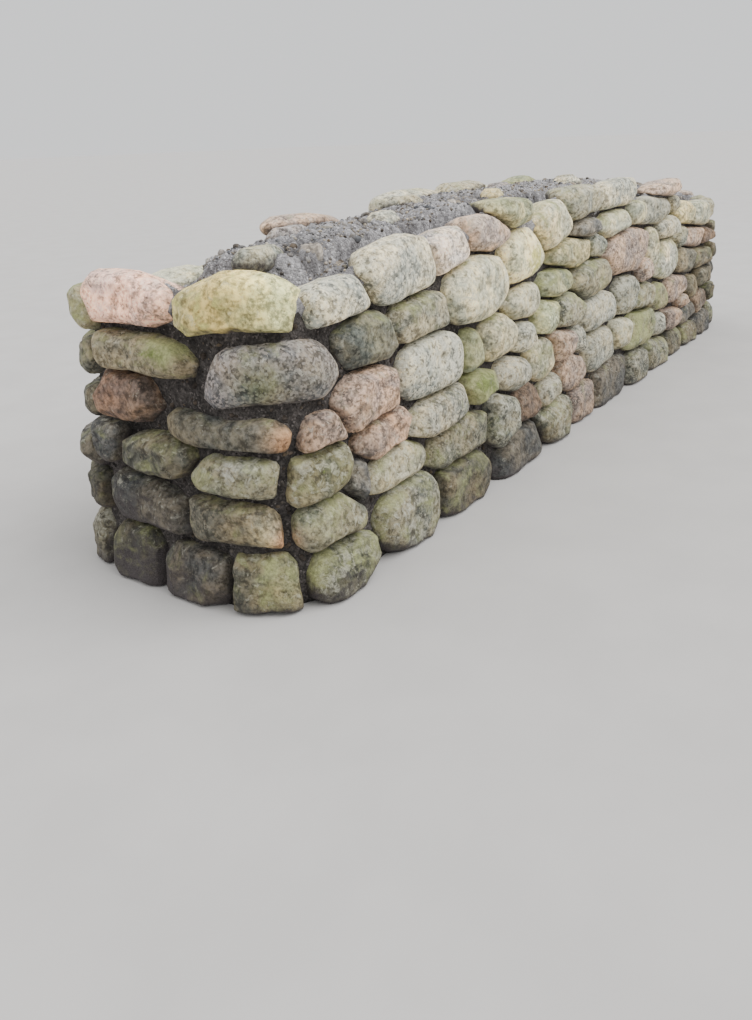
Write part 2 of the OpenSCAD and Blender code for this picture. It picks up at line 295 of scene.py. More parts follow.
# A film that grows on stone, such as algae, moss or lichen: soft islands within broad patches
def makeGrowth():
    numbers = ["Amount", "Patch size", "Softness"]
    group, given, spot = openGroup("growth", ["Color", "Film"], numbers)
    patches = cloudNode(group, spot, given["Patch size"], 6, 0.68, 0.6)
    threshold = mathNode(group, "SUBTRACT", 0.72, mathNode(group, "MULTIPLY", given["Amount"], 0.42))
    top = mathNode(group, "ADD", threshold, given["Softness"])
    mask = rangeNode(group, patches, threshold, top)
    mask = mathNode(group, "MULTIPLY", mask, rangeNode(group, given["Amount"], 0.0, 0.12))
    shade = rangeNode(group, cloudNode(group, spot, 90, 4, 0.7), 0.3, 0.7, 0.7, 1.25)
    film = brightened(group, given["Film"], shade)
    return closeGroup(group, mixColours(group, mask, given["Color"], film), "Mask", mask)


# Earth washed into hollows and joints, and painted shade laid in the earth's colour
def makeEarthStainAndShade():
    group, given, spot = openGroup("earthStain", ["Color", "Earth"], ["Amount"])
    cloud = cloudNode(group, spot, 26, 6, 0.7)
    uneven = mathNode(group, "MULTIPLY_ADD", mathNode(group, "SUBTRACT", cloud, 0.5), 1.3, given["Amount"])
    mask = rangeNode(group, uneven, 0.25, 0.95)
    grains = rangeNode(group, cloudNode(group, spot, 320, 2, 0.6), 0.35, 0.65, 0.6, 1.5)
    earth = brightened(group, given["Earth"], grains)
    return closeGroup(group, mixColours(group, mask, given["Color"], earth), "Mask", mask)


# Crumbly earth: dark humus with paler mineral grains
def makeCrumble():
    group, given, spot = openGroup("crumble", ["Dark", "Pale"], ["Grains"])
    broad = cloudNode(group, spot, 9, 4, 0.6)
    clods = cloudNode(group, spot, 60, 5, 0.7)
    grains = cellNode(group, spot, 150)
    grainTone = splitColour(group, grains["Color"])
    isPale = mathNode(group, "LESS_THAN", grainTone[0], mathNode(group, "MULTIPLY", given["Grains"], 0.5))
    mixed = mathNode(group, "MULTIPLY_ADD", broad, 0.5, mathNode(group, "MULTIPLY", clods, 0.5))
    even = mixColours(group, rangeNode(group, mixed, 0.36, 0.68), given["Dark"], given["Pale"])
    tone = rangeNode(group, grainTone[1], 0.0, 1.0, 0.62, 1.38, smooth=False)
    base = brightened(group, even, tone)
    paler = timesColour(group, given["Pale"], (1.6, 1.6, 1.6))
    grained = mixColours(group, mathNode(group, "MULTIPLY", isPale, 0.7), base, paler)
    height = mathNode(group, "MULTIPLY_ADD", grains["Distance"], -0.35, clods)
    return closeGroup(group, grained, "Height", height)


stoneGrain, growth, earthStain, crumble = makeStoneGrain(), makeGrowth(), makeEarthStainAndShade(), makeCrumble()


def addGroup(tree, group, inputs):
    return put(tree, "ShaderNodeGroup", inputs, node_tree=group).outputs


def newMaterial(name):
    material = bpy.data.materials.new(name)
    material.use_nodes = True
    return material, material.node_tree


def finished(material, colour, rough, bump, specular):
    tree = material.node_tree
    inputs = tree.nodes["Principled BSDF"].inputs
    inputs["Specular IOR Level"].default_value = specular
    for name, value in (("Base Color", colour), ("Roughness", rough), ("Normal", bump)):
        tree.links.new(value, inputs[name])
    return material


# Field boulder: every stone brings its own tint, grain, films, and dirt with painted shade, as attributes
boulderLook = {
    # what grows, from the stone outwards: its attribute, patches per metre and how soft their edges are
    "growths": [("crust", 34.0, 0.14), ("algae", 9.0, 0.34), ("moss", 16.0, 0.16), ("lichen", 18.0, 0.18)],
    "algae": linear(0.60, 0.61, 0.42),
    "moss": linear(0.47, 0.51, 0.29),
    "lichen": linear(0.84, 0.81, 0.50),
    "paleCrust": linear(0.76, 0.75, 0.68),
    "bleach": (1.45, 1.45, 1.45),
    # colour of the earth stain, also laid as painted shade in the joints and under the stones
    "earth": linear(0.27, 0.25, 0.25),
    "pits": 75,
    "bumpDistance": 0.009,
}


def boulderMaterial():
    material, tree = newMaterial("weatheredBoulder")
    shift = attributeNode(tree, "shift", "Vector")
    spot = put(tree, "ShaderNodeVectorMath", {0: objectPlace(tree), 1: shift}, operation="ADD").outputs[0]
    tint = attributeNode(tree, "tint", "Color")
    grain = addGroup(tree, stoneGrain, {"Vector": spot, "Tint": tint, "Fleck": attributeNode(tree, "fleck")})
    bleached = timesColour(tree, tint, boulderLook["bleach"])
    films = {"crust": mixColours(tree, 0.4, bleached, boulderLook["paleCrust"])}
    films.update({name: boulderLook[name] for name in ("algae", "moss", "lichen")})
    look, masks = grain["Color"], {}
    for name, patchSize, softness in boulderLook["growths"]:
        grown = addGroup(tree, growth, {
            "Vector": spot, "Color": look, "Amount": attributeNode(tree, name),
            "Film": films[name], "Patch size": patchSize, "Softness": softness,
        })
        look, masks[name] = grown["Color"], grown["Mask"]
    # earth stain, with painted shade in the joints and under the stones
    stainAndShade = addGroup(tree, earthStain, {
        "Vector": spot, "Color": look, "Amount": attributeNode(tree, "dirt"), "Earth": boulderLook["earth"],
    })
    rough = rangeNode(tree, grain["Height"], 0.3, 0.7, 0.94, 0.74)
    pits = cellNode(tree, spot, boulderLook["pits"])["Distance"]
    height = mathNode(tree, "MULTIPLY_ADD", rangeNode(tree, pits, 0.0, 0.35), 0.25, grain["Height"])
    height = mathNode(tree, "MULTIPLY_ADD", masks["moss"], 0.3, height)
    bump = bumpNode(tree, height, boulderLook["bumpDistance"], 0.9)
    return finished(material, stainAndShade["Color"], rough, bump, 0.3)


# Earth, dark in the joints, partly as painted shade, dry and pale on top, and darkest in the hollows between
# clods, as painted shade
jointEarthLook = {
    # darker than the earth on top, partly as painted shade in the joints
    "dark": linear(0.20, 0.19, 0.185),
    "pale": linear(0.36, 0.34, 0.33),
    "grains": 0.15,
    "bumpDistance": 0.012,
}
humusLook = {
    "dark": linear(0.55, 0.54, 0.545),
    "pale": linear(0.735, 0.725, 0.73),
    "grains": 0.15,
    "bumpDistance": 0.016,
}
# colour of the painted shade in the hollows between clods
hollowShadeTone = linear(0.26, 0.25, 0.25)


def earthMaterial(name, look):
    material, tree = newMaterial(name)
    soil = addGroup(tree, crumble, {
        "Vector": objectPlace(tree), "Dark": look["dark"], "Pale": look["pale"], "Grains": look["grains"],
    })
    # painted shade in the hollows between clods
    hollowShade = mathNode(tree, "MULTIPLY", attributeNode(tree, "hollowShade"), 0.8)
    tone = mixColours(tree, hollowShade, soil["Color"], hollowShadeTone)
    rough = rangeNode(tree, soil["Height"], 0.3, 0.7, 1.0, 0.82)
    return finished(material, tone, rough, bumpNode(tree, soil["Height"], look["bumpDistance"], 1.0), 0.2)


# Pebbles and clods: each brings its own tint
def pebbleMaterial():
    material, tree = newMaterial("dustyPebble")
    place = objectPlace(tree)
    tint = attributeNode(tree, "tint", "Color")
    grain = addGroup(tree, stoneGrain, {"Vector": place, "Tint": tint, "Fleck": 0.3})
    stainAndShade = addGroup(tree, earthStain, {
        "Vector": place, "Color": grain["Color"], "Amount": 0.35, "Earth": boulderLook["earth"],
    })
    rough = rangeNode(tree, grain["Height"], 0.3, 0.7, 1.0, 0.8)
    return finished(material, stainAndShade["Color"], rough, bumpNode(tree, grain["Height"], 0.002, 0.8), 0.25)


weatheredBoulder = boulderMaterial()
jointEarth = earthMaterial("packedJointEarth", jointEarthLook)
humus = earthMaterial("crumblyHumus", humusLook)
dustyPebble = pebbleMaterial()
print("materials made")


# How round each form of boulder is, how many chips it has lost, and how deep they cut
forms = {
    "rolled": {"power": (8.0, 12.0), "chips": 5, "chipDepth": (0.86, 1.0)},
    "worn": {"power": (12.0, 20.0), "chips": 7, "chipDepth": (0.80, 0.99)},
    "split": {"power": (18.0, 32.0), "chips": 10, "chipDepth": (0.75, 0.98)},
    "squared": {"power": (24.0, 30.0), "chips": 2, "chipDepth": (0.94, 1.0)},
}


# What each kind of field stone looks like: form, tint, strength of grain, and what grows on it
def stoneKind(form, tint, fleck, algae, moss, lichen, crust):
    return {"form": form, "tint": linear(*tint), "fleck": fleck, "algae": algae, "moss": moss,
            "lichen": lichen, "crust": crust}


kinds = {
    "granite": stoneKind("worn", (0.58, 0.57, 0.505), 0.9, 0.5, 0.08, 0.0, 0.5),
    "ash": stoneKind("rolled", (0.70, 0.685, 0.615), 0.8, 0.4, 0.05, 0.05, 0.5),
    "mauve": stoneKind("rolled", (0.54, 0.515, 0.51), 1.0, 0.3, 0.08, 0.0, 0.5),
    "slate": stoneKind("split", (0.47, 0.455, 0.43), 0.5, 0.4, 0.12, 0.0, 0.35),
    "mossy": stoneKind("worn", (0.56, 0.545, 0.47), 0.6, 0.65, 0.25, 0.05, 0.45),
    "leaf": stoneKind("split", (0.64, 0.64, 0.52), 0.4, 0.7, 0.28, 0.12, 0.4),
    "cream": stoneKind("rolled", (0.76, 0.735, 0.625), 0.4, 0.5, 0.08, 0.25, 0.5),
    "lichen": stoneKind("squared", (0.74, 0.70, 0.55), 0.4, 0.5, 0.05, 0.45, 0.45),
    "pink": stoneKind("worn", (0.69, 0.605, 0.545), 0.75, 0.35, 0.05, 0.05, 0.45),
    "rust": stoneKind("split", (0.53, 0.45, 0.39), 0.6, 0.35, 0.05, 0.0, 0.35),
    "umber": stoneKind("worn", (0.49, 0.465, 0.40), 0.55, 0.5, 0.15, 0.05, 0.35),
}

# The kinds laid in each course, in order along the wall, bottom course first
laid = {
    "end": ["umber slate", "slate", "slate umber", "rust", "umber", "pink"],
    "corner": ["umber", "umber", "mossy", "umber", "mauve", "lichen"],
    "face": [
        "mossy granite umber slate mossy pink slate granite granite umber umber slate granite",
        "mossy slate cream mossy granite rust ash pink ash cream leaf ash pink pink slate rust umber umber",
        "mossy pink ash leaf ash cream pink ash ash granite mossy mossy pink umber umber slate",
        "pink pink ash leaf cream ash leaf granite mossy pink pink cream cream umber umber umber",
        "slate granite cream cream leaf lichen granite ash granite pink rust umber",
        "ash ash pink pink leaf cream cream granite slate cream ash cream "
        "granite pink granite lichen cream granite mossy",
    ],
}


# Marks on single stones: a place in metres, how far the mark fades out, a tint with its strength, and what
# else the mark brings. It takes in stones that come within its reach, or within onStone where that is given.
def markAt(place, reach, tint=None, amount=0.0, **brings):
    return {"place": place, "reach": reach, "tint": tint, "amount": amount, **brings}


marks = [
    # the yellow stone on the near corner, with a painted highlight on its bright end, and its darker end
    markAt((-2.46, -0.40, 0.97), 0.26, (0.79, 0.72, 0.46), 0.85, onStone=0.06),
    # painted highlight: a near-white tint on the yellow stone's lit end
    markAt((-2.42, -0.46, 1.00), 0.11, (1.0, 0.97, 0.68), 1.0, algae=-0.6, lichen=-0.3),
    markAt((-2.55, -0.24, 0.93), 0.12, (0.62, 0.57, 0.36), 0.7),
    # the large grey boulder under it: a mossy middle between a dark and a pale end
    markAt((-2.47, -0.40, 0.74), 0.09, (0.34, 0.37, 0.27), 0.85, moss=0.3, algae=0.2),
    markAt((-2.33, -0.53, 0.74), 0.13, (0.39, 0.385, 0.35), 0.75),
    markAt((-2.57, -0.32, 0.76), 0.11, (0.80, 0.76, 0.76), 0.8),
    # the lower corner stones: rusty tips and pale, green and lichened sides
    markAt((-2.44, -0.47, 0.56), 0.07, (0.74, 0.55, 0.40), 0.9),
    markAt((-2.53, -0.43, 0.28), 0.06, (0.76, 0.72, 0.58), 0.9),
    markAt((-2.47, -0.46, 0.25), 0.05, (0.78, 0.58, 0.46), 0.8),
    markAt((-2.50, -0.48, 0.12), 0.09, (0.74, 0.72, 0.54), 0.9, algae=0.3),
    markAt((-2.55, -0.36, 0.50), 0.10, (0.56, 0.56, 0.49), 0.7),
    markAt((-2.57, -0.31, 0.50), 0.03, (0.78, 0.78, 0.76), 0.8),
    markAt((-2.52, -0.44, 0.45), 0.06, lichen=0.3),
    markAt((-2.31, -0.54, 0.47), 0.15, (0.41, 0.41, 0.31), 0.9),
    markAt((-2.39, -0.53, 0.31), 0.10, (0.66, 0.66, 0.55), 0.7),
    # whole stones that are darker or paler than their kind
    markAt((-2.55, -0.30, 0.60), 0.22, (0.34, 0.35, 0.345), 0.75, onStone=0.03),
    markAt((-2.31, -0.58, 0.12), 0.20, (0.42, 0.42, 0.36), 0.8, onStone=0.03),
    markAt((-2.02, -0.50, 0.81), 0.20, (0.38, 0.39, 0.33), 0.75, onStone=0.03),
    markAt((-2.32, -0.52, 0.58), 0.15, (0.55, 0.47, 0.42), 0.7, onStone=0.03),
    markAt((-0.81, -0.48, 0.92), 0.20, (1.0, 0.95, 0.74), 0.8, onStone=0.03),
    markAt((-1.44, -0.47, 0.99), 0.20, (0.88, 0.84, 0.80), 0.75, onStone=0.03),
    markAt((-0.66, -0.56, 0.63), 0.20, (0.88, 0.88, 0.70), 0.8, onStone=0.03),
    markAt((1.20, -0.51, 0.66), 0.20, (0.98, 0.94, 0.84), 0.8, onStone=0.03),
    markAt((2.00, -0.55, 0.19), 0.18, (0.66, 0.60, 0.54), 0.6, onStone=0.03),
    # warm tints, and the pink stone at the top of the near end, its tint lifted towards white as a painted
    # highlight
    markAt((-2.57, 0.20, 0.68), 0.12, (0.64, 0.50, 0.43), 0.6),
    markAt((-1.94, -0.54, 0.48), 0.10, (0.78, 0.64, 0.54), 0.7),
    markAt((-2.03, -0.54, 0.63), 0.12, (0.76, 0.64, 0.57), 0.6),
    markAt((-2.55, 0.10, 1.00), 0.24, (1.0, 0.81, 0.73), 0.95, algae=-0.3, onStone=0.06),
    # spots of moss and lichen
    markAt((-2.57, -0.06, 0.84), 0.08, moss=0.4, algae=0.3),
    markAt((-1.28, -0.56, 0.46), 0.09, moss=0.6, algae=0.4),
    markAt((-0.74, -0.50, 0.87), 0.10, lichen=0.7),
    # dirt at the foot and the ends of the wall, and painted shade over the near end, the foot and the far
    # end
    markAt((-2.62, 0.30, 0.30), 0.38, dirt=0.45, shade=0.6),
    markAt((-2.62, 0.05, 0.10), 0.26, dirt=0.45, shade=0.85),
    markAt((-2.58, -0.10, 0.56), 0.22, shade=0.75),
    markAt((-2.25, -0.57, 0.05), 0.24, dirt=0.25, shade=0.7),
    markAt((-1.30, -0.58, 0.05), 0.50, dirt=0.15, shade=0.8),
    markAt((2.50, -0.50, 0.45), 0.55, dirt=0.2, shade=0.65),
]

boulder = {
    "fineSide": (-0.2, 0.1),  # where a ball's fine side starts, and how much later at each further cut
    "nearReach": 1.35,  # stones this close to the near corner get the finest mesh
    "fullness": (1.03, 1.095),  # at the face, and at the joint where stones touch
    "faceFade": 0.6,  # how soon the one gives way to the other
    "clearance": 0.997,  # share of its CAD stone that a boulder may fill
    "onGround": 0.002,  # a stone whose foot is no higher stands flat on the ground
    "leastFacet": 2e-5,  # smaller facets, in square metres, don't shape a stone
    "sameFacet": 0.985,  # nor do those that turn this little from a larger one
    # noise frequency per metre, and depth in metres
    "roughness": {"swell": (6.5, 0.018), "lumps": (18.0, 0.014), "grit": (55.0, 0.005)},
    "jointCalm": 0.25,  # share of the roughness that is left in the joints
    "calmSpan": 0.09,  # stones thinner than twice this are smoother
    "jointDirt": (0.035, 0.12),  # depths behind a stone's face between which the joint's dirt and painted shade set in
    "jointDirtAmount": 0.8,
    "splash": 0.14,  # height to which the ground dirties the wall
    "splashAmount": 0.5,
    "shade": (0.56, 1.42),  # from the foot of the wall to its top: partly painted shade and light, partly damp, soiled lower stones
    "shadeSpread": (0.9, 1.1),
    "warmSpread": (0.97, 1.03),
    "growthSpread": (0.75, 1.25),
    "smallMark": 0.2,  # marks that reach less far have to touch a stone
    "touching": 0.04,
    "seed": 41,
}


# A ball with a fine side towards +Y for the part of a stone that shows
def makeBall(cutsInTurn):
    bm = bmesh.new()
    bmesh.ops.create_icosphere(bm, subdivisions=3, radius=1)
    start, later = boulder["fineSide"]
    for step, cuts in enumerate(cutsInTurn):
        limit = start + later * step
        edges = [e for e in bm.edges if min(v.co.y for v in e.verts) > limit]
        bmesh.ops.subdivide_edges(bm, edges=edges, cuts=cuts, use_grid_fill=True)
        for v in bm.verts:
            v.co.normalize()
    bmesh.ops.triangulate(bm, faces=[f for f in bm.faces if len(f.verts) > 4])
    return meshFrom(bm)


# The separate stones of a CAD node, each as its corner points and its faces' planes
def stonesOf(name):
    bm = bmesh.new()
    bm.from_mesh(nodes[name].data)
    bmesh.ops.remove_doubles(bm, verts=bm.verts, dist=1e-5)
    bm.verts.index_update()
    bm.faces.index_update()
    seen, stones = set(), []
    for start in bm.verts:
        if start.index in seen:
            continue
        island, waiting = [], [start]
        seen.add(start.index)
        while waiting:
            vert = waiting.pop()
            island.append(vert)
            for edge in vert.link_edges:
                other = edge.other_vert(vert)
                if other.index not in seen:
                    seen.add(other.index)
                    waiting.append(other)
        faces = sorted({f for v in island for f in v.link_faces}, key=lambda f: f.index)
        corners = np.array([v.co[:] for v in island])
        normals = np.array([f.normal[:] for f in faces])
        points = np.array([f.verts[0].co[:] for f in faces])
        areas = np.array([f.calc_area() for f in faces])
        stones.append({"corners": corners, "normals": normals, "points": points, "areas": areas})
    bm.free()
    return stones


# Planes of a stone seen from its middle; facets that nearly agree count once
def planesOf(stone, middle):
    distances = ((stone["points"] - middle) * stone["normals"]).sum(1)
    kept = []
    for k in np.argsort(-stone["areas"]):
        if stone["areas"][k] < boulder["leastFacet"]:
            continue
        if all(stone["normals"][k] @ stone["normals"][j] < boulder["sameFacet"] for j in kept):
            kept.append(k)
    return stone["normals"], distances, kept


# Chips: planes that cut into the side that shows, each as deep as the stone's form allows
def addChips(reaches, planes, axes, form, draw):
    normals, distances = planes
    for _ in range(form["chips"]):
        chip = Vector((draw.uniform(-1, 1), draw.uniform(0.1, 1), draw.uniform(-1, 1))).normalized()
        normal = np.array(chip) @ axes
        reach = (reaches @ normal).max() * draw.uniform(*form["chipDepth"])
        normals = np.vstack([normals, normal])
        distances = np.append(distances, reach)
    return normals, distances


# Dents a stone inwards with three noises, less in its joints than on its face
def roughen(points, calm, draw):
    lengths = np.linalg.norm(points, axis=1)
    seedPlace = Vector([draw.uniform(-50, 50) for _ in range(3)])
    for k, point in enumerate(points):
        spot = Vector(point) + seedPlace
        dent = 0.0
        for frequency, depth in boulder["roughness"].values():
            dent += depth * (0.5 + 0.5 * noise.noise(spot * frequency))
        points[k] *= 1 - calm[k] * dent / lengths[k]


# Presses a ball to the planes of a CAD stone, with rounded arrises, and keeps it inside them
def shapeStone(ball, stone, draw, form):
    middle = stone["corners"].mean(0)
    out = np.array(outward(*middle[:2]))
    along = np.array([-out[1], out[0], 0])
    bedded = stone["corners"][:, 2].min() < boulder["onGround"]
    axes = np.array([along, out, [0, 0, 1]])
    spans = np.abs((stone["corners"] - middle) @ axes.T).max(0)
    ways = (ball * spans) @ axes
    normals, distances, kept = planesOf(stone, middle)
    if bedded:
        kept = [k for k in kept if normals[k][2] > -0.98]
    hardReach = (ways @ normals.T / distances).max(1)
    planes = normals[kept], distances[kept]
    softNormals, softDistances = addChips(stone["corners"] - middle, planes, axes, form, draw)
    power = draw.uniform(*form["power"])
    shares = np.maximum(ways @ softNormals.T / softDistances, 1e-9)
    peak = shares.max(1)
    softReach = peak * ((shares / peak[:, None]) ** power).sum(1) ** (1 / power)
    reached = outwardRows(middle + ways / hardReach[:, None])
    facing = np.clip((ways * reached).sum(1) / np.linalg.norm(ways, axis=1), 0, 1)
    atFace, atJoint = boulder["fullness"]
    fullness = atJoint + (atFace - atJoint) * facing ** boulder["faceFade"]
    size = np.maximum(softReach / fullness, hardReach / boulder["clearance"])
    points = ways / size[:, None]
    thickness = min(1.0, float(spans.min()) / boulder["calmSpan"])
    roughen(points, thickness * (boulder["jointCalm"] + (1 - boulder["jointCalm"]) * facing), draw)
    points += middle
    if bedded:
        points[:, 2] = np.maximum(points[:, 2], 0)
    return points


def addMark(mark, table, points, shade):
    away = np.linalg.norm(points - np.array(mark["place"]), axis=1)
    missed = mark["reach"] < boulder["smallMark"] and away.min() > boulder["touching"]
    if missed or away.min() > mark.get("onStone", mark["reach"]):
        return
    weight = np.exp(-(away / mark["reach"]) ** 2)
    for name in ("algae", "moss", "lichen", "dirt"):
        table[name] = table[name] + mark.get(name, 0) * weight
    if mark["tint"]:
        share = (mark["amount"] * weight)[:, None]
        table["tint"] = table["tint"] * (1 - share) + np.array(linear(*mark["tint"])) * shade * share
    table["tint"] *= 1 - (1 - mark.get("shade", 1)) * weight[:, None]


# What the boulders' material reads at each point of a stone
def stoneColours(points, kind, draw):
    look = kinds[kind]
    # darker low on the wall, paler high up: partly painted shade and light, partly damp, soiled lower stones
    low, high = boulder["shade"]
    shade = low + (high - low) * points[:, 2].mean() / wall["height"]
    shade *= draw.uniform(*boulder["shadeSpread"])
    warm = draw.uniform(*boulder["warmSpread"])
    tint = [look["tint"][0] * shade * warm, look["tint"][1] * shade, look["tint"][2] * shade / warm, 1]
    count = len(points)
    depth = depthRows(points)
    depth -= depth.min()
    # the joints darken with depth behind the face: earth in them, and painted shade
    low, high = boulder["jointDirt"]
    dirt = np.clip((depth - low) / (high - low), 0, 1) * boulder["jointDirtAmount"]
    dirt += np.clip(1 - points[:, 2] / boulder["splash"], 0, 1) * boulder["splashAmount"]
    table = {
        "tint": np.tile(tint, (count, 1)),
        "shift": np.tile([draw.uniform(-9, 9) for _ in range(3)], (count, 1)),
        "dirt": dirt,
    }
    for name in ("fleck", "algae", "moss", "lichen", "crust"):
        table[name] = np.full(count, min(1.0, look[name] * draw.uniform(*boulder["growthSpread"])))
    for mark in marks:
        addMark(mark, table, points, shade)
    table["tint"][:, 3] = 1
    return table


attributeKinds = {"tint": ("FLOAT_COLOR", "color"), "shift": ("FLOAT_VECTOR", "vector")}


def writeAttributes(mesh, tables):
    for name in tables[0]:
        kind, field = attributeKinds.get(name, ("FLOAT", "value"))
        attribute = mesh.attributes.new(name, kind, "POINT")
        values = np.concatenate([t[name] for t in tables]).astype(np.float32)
        attribute.data.foreach_set(field, values.ravel())


# Undersides are darkened with painted shade, upward faces keep less dirt, and growth favours what faces the
# sky
weather = {"washed": 0.7, "undersideShade": 0.35, "algae": 0.35, "crust": 0.3}


def weatherAndShadeBySlope(mesh, tables):
    normals = np.zeros(len(mesh.vertices) * 3, np.float32)
    mesh.vertices.foreach_get("normal", normals)
    slopes = normals.reshape(-1, 3)[:, 2]
    start = 0
    for table in tables:
        slope = slopes[start:start + len(table["dirt"])]
        table["dirt"] *= 1 - weather["washed"] * np.clip(slope, 0, 1)
        # painted shade on the undersides
        table["dirt"] += weather["undersideShade"] * np.clip(-slope, 0, 1)
        for name in ("algae", "crust"):
            table[name] *= 1 + weather[name] * np.clip(slope, -0.5, 1)
        start += len(slope)


balls = {"fine": makeBall([2, 1]), "plain": makeBall([2])}
ballPoints = {k: np.array([v.co[:] for v in b.vertices]) for k, b in balls.items()}
nearCorner = Vector((-wall["length"] / 2, -wall["thickness"] / 2))


def addStone(bm, size, points):
    mesh = balls[size].copy()
    mesh.vertices.foreach_set("co", points.astype(np.float32).ravel())
    bm.from_mesh(mesh)
    bpy.data.meshes.remove(mesh)


# All stones of a course, in order along the wall
def makeBoulders(node, words, way, seed):
    stones = sorted(stonesOf(node), key=lambda s: s["corners"].mean(0)[:2] @ way)
    draw = random.Random(seed)
    bm, tables = bmesh.new(), []
    for word, stone in zip(words, stones, strict=True):
        middle = stone["corners"].mean(0)
        near = (Vector(middle[:2]) - nearCorner).length < boulder["nearReach"]
        size = "fine" if near else "plain"
        points = shapeStone(ballPoints[size], stone, draw, forms[kinds[word]["form"]])
        addStone(bm, size, points)
        tables.append(stoneColours(points, word, draw))
    bmesh.ops.recalc_face_normals(bm, faces=bm.faces)
    piece = addPiece(node + "_boulders", meshFrom(bm), weatheredBoulder, [node])
    weatherAndShadeBySlope(piece.data, tables)
    writeAttributes(piece.data, tables)


for number, half in enumerate(halves):
    side = half["side"]
    runs = [
        (half["end"] + "_course_", "end", "end_boulders", (0, side)),
        (half["corner"] + "_stone_", "corner", "end_boulders", (1, 0)),
        (half["face"] + "_course_", "face", "face_boulders", (-side, 0)),
    ]
    for stem, part, slot, way in runs:
        for k in range(courseCount):
            words = laid[part][k].split()
            seed = boulder["seed"] + 100 * number + 10 * k + len(part)
            makeBoulders(f"{stem}{k + 1}", words, way, seed)
print("boulders made")


# Flat stones bedded in the topsoil, in order from the near end
bedded = {
    "kinds": "granite mauve ash granite lichen mauve ash granite cream mauve",
    "form": "worn",
    "dirt": (0.1, 0.6),  # on the highest point, and how much more lower down
    "dirtDepth": 0.04,
    "seed": 7,
}


def makeBedded():
    stones = sorted(stonesOf("bedded_stones"), key=lambda s: s["corners"].mean(0)[0])
    sideUp = ballPoints["plain"][:, [0, 2, 1]] * [1, -1, 1]
    draw = random.Random(bedded["seed"])
    bm, tables = bmesh.new(), []
    for word, stone in zip(bedded["kinds"].split(), stones, strict=True):
        points = shapeStone(sideUp, stone, draw, forms[bedded["form"]])
        addStone(bm, "plain", points)
        table = stoneColours(points, word, draw)
        least, more = bedded["dirt"]
        sunk = np.clip((points[:, 2].max() - points[:, 2]) / bedded["dirtDepth"], 0, 1)
        table["dirt"] = sunk * more + least
        tables.append(table)
    bmesh.ops.recalc_face_normals(bm, faces=bm.faces)
    name, replaced = "bedded_stones_weathered", ["bedded_stones"]
    piece = addPiece(name, meshFrom(bm), weatheredBoulder, replaced)
    writeAttributes(piece.data, tables)


makeBedded()
print("bedded stones made")


# The shown stones, for finding where loose earth and crumbs lie against them
def shownTree():
    bm = bmesh.new()
    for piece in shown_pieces():
        if piece.name.endswith("_boulders") or piece.name == "bedded_stones_weathered":
            bm.from_mesh(piece.data)
    tree = BVHTree.FromBMesh(bm)
    bm.free()
    return tree


boulderTree = shownTree()
down = Vector((0, 0, -1))

# Earth packed behind and between the boulders, up to the underside of the topsoil's crust
packing = {
    "step": 0.028,
    "rise": 0.026,
    "top": 1.09,
    "depth": (0.085, 0.125),  # behind the wall's outer line
    "middleDepth": 0.1,
    "unevenness": (11.0, 34.0),  # noise frequencies per metre
    "belowRim": 0.07,
    "cap": (0.12, 0.73),  # how far in, and how high, its top dips under the topsoil
}


# The place a share of the way round the wall, so far behind its outline at the foot
def outlinePoint(share, back):
    radius = wall["cornerRadius"]
    halfX, halfY = straight.tolist()
    arc = math.pi / 2 * radius
    lengths = [2 * halfX, arc, 2 * halfY, arc] * 2
    place = share * sum(lengths)
    k = 0
    while place > lengths[k] and k < 7:
        place -= lengths[k]
        k += 1
    sideX, sideY = ((-1, -1), (1, -1), (1, 1), (-1, 1))[(k + 1) // 2 % 4]
    angle = 90 * (k // 2) - 90
    turn = math.radians(angle + (place / arc * 90 if k % 2 else 0))
    x = sideX * halfX + (radius - back) * math.cos(turn)
    y = sideY * halfY + (radius - back) * math.sin(turn)
    if k % 2 == 0:
        way = math.radians(angle + 90)
        x += place * math.cos(way)
        y += place * math.sin(way)
    return x, y


# Height of the top stones all round the wall, evened out from one stone to the next
rim = {"stations": 720, "depth": 0.13, "widen": 2, "smooth": 5, "missing": 0.8}


def rimStations():
    count, depth = rim["stations"], rim["depth"] + wall["batter"]
    tree, tops = KDTree(count), []
    for k in range(count):
        x, y = outlinePoint(k / count, depth)
        tree.insert((x, y, 0), k)
        hit = boulderTree.ray_cast(Vector((x, y, 2)), down)[0]
        tops.append(hit.z if hit else rim["missing"])
    tree.balance()
    turns = range(-rim["widen"], rim["widen"] + 1)
    tops = np.max([np.roll(tops, t) for t in turns], axis=0)
    turns = range(-rim["smooth"], rim["smooth"] + 1)
    return tree, np.mean([np.roll(tops, t) for t in turns], axis=0)


rimTree, rimTops = rimStations()


def rimHeight(x, y):
    return float(rimTops[rimTree.find((x, y, 0))[1]])


# How far behind the wall's outer line the packed earth lies at a place
def packingDepth(spot):
    shallow, deep = packing["depth"]
    wave = sum(noise.noise(spot * f + Vector((3, 7, 1))) for f in packing["unevenness"]) / 2
    return shallow + (deep - shallow) * (0.5 + 0.5 * wave) + wall["batter"] * spot.z


